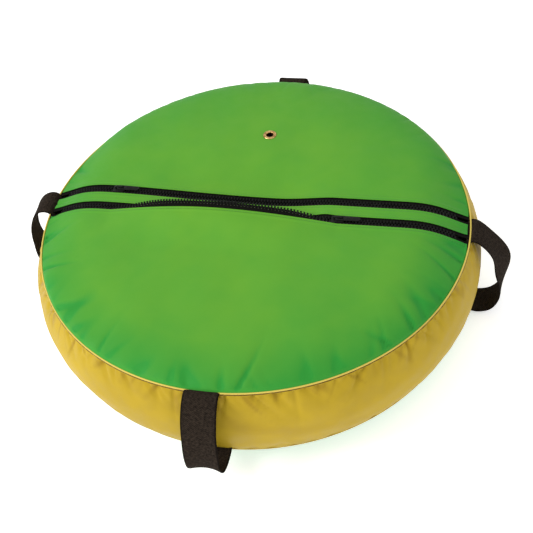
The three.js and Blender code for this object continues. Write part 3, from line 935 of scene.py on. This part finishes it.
def rim_stitches(name, upper, material):
    """Stitches in the yellow band's groove, all round one rim seam."""
    theta = np.linspace(0, 2 * PI, 2200)
    share = BAND_STITCH / BAND_LENGTH
    r, z = band_profile(seam_height(theta), share if upper else 1 - share)
    r = r - 0.55 + CLOTH / 2
    path = np.stack([r * np.cos(theta), r * np.sin(theta), z], -1)
    tip = np.full_like(theta, 0.55 if upper else -0.55)
    normals = np.stack([0.83 * np.cos(theta), 0.83 * np.sin(theta), tip], -1)
    stitches(name, path, normals, 4.2, 3.4, 0.36, material)


# ---- zippers ----

HALVES = {
    "front_zipper_front": (-ZIP_Y - BAND_HALF, 1, LIP_TILT),
    "front_zipper_rear": (-ZIP_Y + BAND_HALF, -1, STRIP_TILT),
    "rear_zipper_front": (ZIP_Y - BAND_HALF, 1, 0.0),
    "rear_zipper_rear": (ZIP_Y + BAND_HALF, -1, 0.0),
}
"""Each half hangs on a cloth edge: (that edge's y, the side its chain is on, its tilt)."""

TOOTH_PITCH = 4.3
CHAIN_END = 275.0


def mouth_open(x):
    """How far the mouth's halves are turned up or down, from 0, zipped, to 1."""
    left = smooth(x, OPEN_LEFT + 10, OPEN_LEFT + 90)
    return left * (1 - smooth(x, OPEN_RIGHT - 65, OPEN_RIGHT))


def half_point(half, x, out, up):
    """A point of a zipper half: out from its cloth edge, and up from the cloth's top."""
    edge, toward, tilt = HALVES[half]
    x, out, up = np.broadcast_arrays(*(np.asarray(v, float) for v in (x, out, up)))
    angle = np.where(out > 0, tilt * mouth_open(x), 0.0)
    out = out + (LIP_PULLED * mouth_open(x) * (out > 0) if tilt > 0 else 0)
    plain_y = edge + toward * out
    level_y = plain_y if tilt == 0 else np.where(out > 0, edge, plain_y)
    lift = up - TAPE_TOP
    turned_out = out * np.cos(angle) - lift * np.sin(angle)
    turned_up = out * np.sin(angle) + lift * np.cos(angle)
    height = cloth_height(x, level_y) + TAPE_TOP + turned_up
    return np.stack([x, edge + toward * turned_out, height], -1)


def zipper_tape(half, material):
    """Woven tape, thicker in the cord that the teeth are moulded round."""
    flat_end, cord_r = 3.6, 0.85
    cord_out = flat_end + cord_r * 0.8
    top = [(-TAPE_MARGIN, -1.2), (-3, -0.9), (-1, -0.3), (0, 0), (0.8, 0), (1.6, 0), (2.4, 0)]
    top.append((flat_end - 0.4, 0))
    cord = [
        (cord_out + cord_r * cos(a), -TAPE_THICK / 2 + cord_r * sin(a))
        for a in np.linspace(PI * 0.75, -PI * 0.75, 9)
    ]
    section = np.array(top + cord + [(out, drop - TAPE_THICK) for out, drop in reversed(top)])
    rim = sqrt((SEAM_R - 1.5) ** 2 - (ZIP_Y + BAND_HALF) ** 2)
    x = rim * np.sin(PI * np.linspace(-0.5, 0.5, 420))
    out, up = section[:, 0], TAPE_TOP + section[:, 1]
    points = half_point(half, x[:, None], out, up)
    pattern = np.stack(np.broadcast_arrays(x[:, None], out), -1)
    if HALVES[half][1] > 0:
        points, pattern = points[:, ::-1], pattern[:, ::-1]
    swept(f"{half}_woven_tape", f"{half}_tape", points, material, pattern)


def tooth_template():
    """One moulded tooth as (along, out, up) points: a foot on the tape, a neck and a head."""
    right = [
        (1.15, 0.0), (1.25, 0.6), (1.2, 2.2), (0.72, 2.9), (0.72, 3.3), (1.22, 3.9), (1.28, 4.5),
        (0.85, 5.0),
    ]
    left = [(-along, out) for along, out in right]
    outline = np.array([left[0], *right, *left[:0:-1]])
    middle, half_height = outline.mean(0), ROW_HEIGHT / 2
    layers = [
        (0.86, -half_height), (1.0, -half_height + 0.35), (1.0, half_height - 0.35), (0.86, half_height)
    ]
    n = len(outline)
    points = [
        np.column_stack([middle + (outline - middle) * scale, np.full(n, up)]) for scale, up in layers
    ]
    return np.concatenate(points), bar_faces(len(layers), n)


def zipper_teeth(half, material):
    """A row of moulded teeth, half a pitch out of step with the row that it meshes with."""
    template, faces = tooth_template()
    toward = HALVES[half][1]
    first = -CHAIN_END + (TOOTH_PITCH / 2 if toward < 0 else 0)
    places = np.arange(first, CHAIN_END + 1, TOOTH_PITCH)
    apart = mouth_open(places)
    for stop in [-STOP_X, STOP_X] + [SLIDER_X] * half.startswith("front"):
        apart = np.maximum(apart, 1 - smooth(np.abs(places - stop), 10, 24))
    meshed = 0.55 - 0.95 * apart
    out = (BAND_HALF + meshed - 5.0)[:, None] + template[:, 1]
    up = (ROW_TOP + ROW_LOW) / 2 + template[:, 2]
    placed = half_point(half, places[:, None] + template[:, 0], out, up)
    faces = faces if toward < 0 else [face[::-1] for face in faces]
    many(f"{half}_moulded_teeth", faces, placed, material, f"{half}_teeth")


# ---- sliders and pull tabs ----

PLATE_LOW, PLATE_TOP = ROW_TOP + 0.3, ROW_TOP + 2.1
HINGE_UP = PLATE_TOP + 1.9


def slider(end, place, material):
    """A slider: two plates with lips over the chain, a wedge between them and a bridge."""
    plate = rounded(both_sides([(-9, -6.5), (-5, -6.6), (6, -5.0), (9, -4.0)]), 2.4, 5)
    under = ROW_LOW - 0.3
    wedge = rounded(both_sides([(-8, -0.3), (-3, -0.3)]), 0.25)
    lip = [(-8.4, 5.65), (5.5, 4.35), (5.8, 4.95), (-5.0, 6.5), (-8.4, 6.4)]
    solids = [
        puck(plate, PLATE_LOW, PLATE_TOP, 0.7),
        puck(plate, under - 1.2, under, 0.4),
        puck(wedge, under - 0.4, PLATE_LOW + 0.4, 0.1),
    ]
    for side in (lip, [(x, -y) for x, y in reversed(lip)]):
        solids.append(puck(rounded(side, 0.4), PLATE_LOW - 0.75, PLATE_LOW + 0.5, 0.15))
        solids.append(puck(rounded(side, 0.4), under - 0.5, under + 0.75, 0.15))
    hard_piece(f"{end}_slider_body", f"{end}_slider", place, [*solids, bridge()], material)


def bridge():
    """The slider's arch, which the pull tab's bar passes under."""
    low, high, reach = PLATE_TOP - 0.5, PLATE_TOP + 4.3, 5.0
    route = rounded([(-reach, low - 6), (-reach, high), (reach, high), (reach, low - 6)], 2.6, 8)
    route = np.array([point for point in route if point[1] > low - 0.1])
    route = np.r_[[(-reach, low)], route, [(reach, low)]]
    along = unit(np.gradient(route, axis=0))
    out = np.stack([-along[:, 1], along[:, 0]], -1)
    section = rounded(both_sides([(-0.7, -1.5), (0.7, -1.5)]), 0.5, 3)
    x = route[:, :1] + out[:, :1] * section[:, 0]
    z = route[:, 1:] + out[:, 1:] * section[:, 0]
    rings = np.stack(np.broadcast_arrays(x, section[:, 1], z), -1)
    return rings.reshape(-1, 3), bar_faces(*rings.shape[:2])


def pull_tab(end, place, material):
    """A moulded tab: a round bar, two arms and a tapered grip with a raised rim and ribs."""
    grip = rounded(both_sides([(7.5, -4.2), (28.5, -3.3), (30.4, -1.6)]), 2.0, 4)
    core = rounded(both_sides([(9.5, -3.1), (26.5, -2.4)]), 1.2, 4)
    solids = [puck(grip, -0.8, 0.8, 0.35)]
    for low, high, lift in ((0.55, 1.05, 0.35), (-1.05, -0.55, -0.35)):
        solids.append(puck(core, low, high, 0.18))
        for x in np.arange(12, 25, 2.6):
            rib = rounded(both_sides([(x, -2.0), (x + 1.1, -2.0)]), 0.5, 3)
            solids.append(puck(rib, low + lift, high + lift, 0.2))
    for y in (-3.2, 3.2):
        arm = rounded([(x, y + half) for x, half in both_sides([(-0.9, -1), (9, -1)])], 0.5)
        solids.append(puck(arm, -0.8, 0.8, 0.3))
    bar = [(0.8 * cos(a), 0.8 * sin(a)) for a in np.arange(12) * PI / 6]
    rings = np.array([[(x, y, z) for x, z in bar] for y in (-4.1, -2, 2, 4.1)])
    solids.append((rings.reshape(-1, 3), bar_faces(4, 12)))
    hard_piece(f"{end}_pull_tab_moulded", f"{end}_pull_tab", place, solids, material)


def hard_piece(name, body, place, solids, material):
    """Several (points, faces) as one piece at place, for the CAD node that its body is named after."""
    points, faces, start = [], [], 0
    for some_points, some_faces in solids:
        points.append(np.asarray(some_points, float))
        faces += [[index + start for index in face] for face in some_faces]
        start += len(some_points)
    points = np.concatenate(points) + np.array(place)
    make_piece(name, points, faces, material, body, body)


# ---- webbing handles ----

WEB_HALF = 21.6
WEB_THICK = 1.8


def curve_through(points, steps):
    """A smooth Catmull-Rom curve through points, sampled at even distances."""
    points = np.array(points, float)
    ends = [2 * points[0] - points[1], *points, 2 * points[-1] - points[-2]]
    made = []
    for k in range(len(points) - 1):
        a, b, c, d = ends[k : k + 4]
        for t in np.linspace(0, 1, 24, endpoint=False):
            made.append(0.5 * (2 * b + (c - a) * t + (2 * a - 5 * b + 4 * c - d) * t**2
                               + (3 * b - a - 3 * c + d) * t**3))
    made = np.array([*made, points[-1]])
    run = np.r_[0, np.cumsum(np.linalg.norm(np.diff(made, axis=0), axis=1))]
    even = np.linspace(0, run[-1], steps)
    return np.stack([np.interp(even, run, made[:, k]) for k in range(made.shape[1])], -1), run[-1]


def handle(side, turn, route, material, shift=0.0, twist=0.0, cup=0.9):
    """A webbing loop from the upper rim seam, out, down and back into the lower one.

    route holds (radius, height) points. shift moves the loop along the seam, twist turns its
    outer part, in degrees, and cup bends its edges outwards.
    """
    steps, across = 170, 25
    line, length = curve_through(route, steps)
    share = np.linspace(0, 1, steps)
    along = unit(np.gradient(line, axis=0))
    out = np.stack([-along[:, 1], along[:, 0]], -1)
    belly = np.sin(PI * share)
    angle = (radians(twist) * bell(share - 0.42, 0.17))[:, None]
    bend = 0.5 * belly + cup * bell(share - 0.68, 0.14)
    v = np.linspace(-1, 1, across)
    ripple = 0.5 * np.sin(share * 21)[:, None] * v**3 * belly[:, None]
    half = WEB_THICK / 2 * np.sqrt(np.maximum(1 - np.abs(v) ** 14, 0.02))
    sections = []
    for face in (1, -1):
        rise = bend[:, None] * v**2 + ripple + face * half
        wide = WEB_HALF * v * np.cos(angle) - rise * np.sin(angle)
        lift = WEB_HALF * v * np.sin(angle) + rise * np.cos(angle)
        r, z = line[:, :1] + out[:, :1] * lift, line[:, 1:] + out[:, 1:] * lift
        sections.append(np.stack([r, wide + shift, z], -1)[:, ::face])
    c, s = cos(turn), sin(turn)
    points = np.concatenate(sections, 1) @ np.array([[c, s, 0], [-s, c, 0], [0, 0, 1]])
    columns = np.r_[v, v[::-1]] * WEB_HALF
    pattern = np.stack(np.broadcast_arrays((share * length)[:, None], columns), -1)
    swept(f"handle_{side}_webbing", f"handle_{side}", points, material, pattern)


# ---- the assembly ----


def floor():
    """A plain floor, just under the float."""
    half, gap = 9.0, 0.0006
    mesh = bpy.data.meshes.new("studio_floor")
    corners = [(-half, -half, 0), (half, -half, 0), (half, half, 0), (-half, half, 0)]
    mesh.from_pydata(corners, [], [(0, 1, 2, 3)])
    mesh.materials.append(floor_material())
    plane = put("studio_floor", mesh)
    plane.location.z = -gap


def cover():
    """The sewn cloth of the cover with its stitching."""
    green = cloth_material("green_nylon", (0.125, 0.365, 0.026), (0.024, 0.27, 0.030))
    green_thread = thread_material("green_thread", (0.05, 0.26, 0.03))
    brown_thread = thread_material("brown_thread", (0.11, 0.055, 0.01))
    top_panel(-1, "top_cloth_front", "top_panel_front", green)
    top_panel(1, "top_cloth_rear", "top_panel_rear", green)
    centre_strip(green)
    side_band(side_material())
    bottom_panel(cloth_material("base_nylon", (0.075, 0.27, 0.022), (0.03, 0.23, 0.028)))
    outer, inner = ZIP_Y + BAND_HALF + STITCH_IN, ZIP_Y - BAND_HALF - STITCH_IN
    for name, y in (("front", -outer), ("strip_front", -inner), ("strip_rear", inner), ("rear", outer)):
        zipper_edge_stitches(f"zipper_stitches_{name}", y, green_thread)
    for name, upper in (("upper", True), ("lower", False)):
        rim_stitches(f"rim_stitches_{name}", upper, brown_thread)


def zippers():
    """Both zippers, the front one partly open, with their sliders and pull tabs."""
    tape = tape_material()
    teeth = moulded_material("tooth_plastic", (0.004, 0.004, 0.0035), 0.5, 0.1)
    plastic = moulded_material("slider_plastic", (0.007, 0.007, 0.0065), 0.4)
    pale_thread = thread_material("pale_thread", (0.16, 0.15, 0.11))
    for half in ("front_zipper_front", "rear_zipper_front"):
        tape_stitches(half, pale_thread)
    for half in HALVES:
        zipper_tape(half, tape)
        zipper_teeth(half, teeth)
    level = HEIGHT - VALLEY
    for end, x, y in (("front", SLIDER_X, -ZIP_Y), ("rear", -STOP_X, ZIP_Y)):
        slider(end, (x, y, level), plastic)
        pull_tab(end, (x, y, level + HINGE_UP), plastic)


RIGHT_LOOP = [
    (290.5, 141), (297, 146), (306, 143), (318, 131), (330, 114), (339, 93), (343.5, 71), (344, 48),
    (339, 27), (328, 11), (310, 6), (297, 14), (290.5, 27),
]
LEFT_LOOP = [
    (290.5, 141), (297, 149), (308, 149), (320, 141), (331, 124), (339, 102), (342, 78), (340, 52),
    (333, 31), (320, 18), (305, 18), (296, 24), (290.5, 30),
]
FRONT_LOOP = [
    (290.5, 150), (297, 154), (306, 153), (317, 145), (329, 129), (338, 107), (342, 84), (340, 62),
    (332, 46), (320, 37), (306, 34), (297, 35), (290.5, 37),
]
REAR_LOOP = [
    (290.5, 148), (296, 153), (304, 155), (314, 148), (325, 132), (334, 107), (338, 82), (336, 54),
    (329, 31), (318, 17), (304, 17), (296, 24), (290.5, 30),
]


def handles():
    """Four loops that hang a little differently, as soft webbing does."""
    webbing = webbing_material("black_webbing", (0.020, 0.0145, 0.0105), 2.6)
    handle("right", 0, RIGHT_LOOP, webbing, twist=26)
    handle("rear", PI / 2, REAR_LOOP, webbing, shift=-7.6)
    handle("left", PI, LEFT_LOOP, webbing, twist=-9)
    handle("front", -PI / 2, FRONT_LOOP, webbing, shift=-1.2, cup=4)


set_camera()
set_light()
floor()
cover()
zippers()
handles()
rubber = rubber_material()
brass = brass_material()
inner_tube(rubber)
valve(rubber, brass, moulded_material("cap_plastic", (0.014, 0.014, 0.014), 0.4))
eyelet(brass)
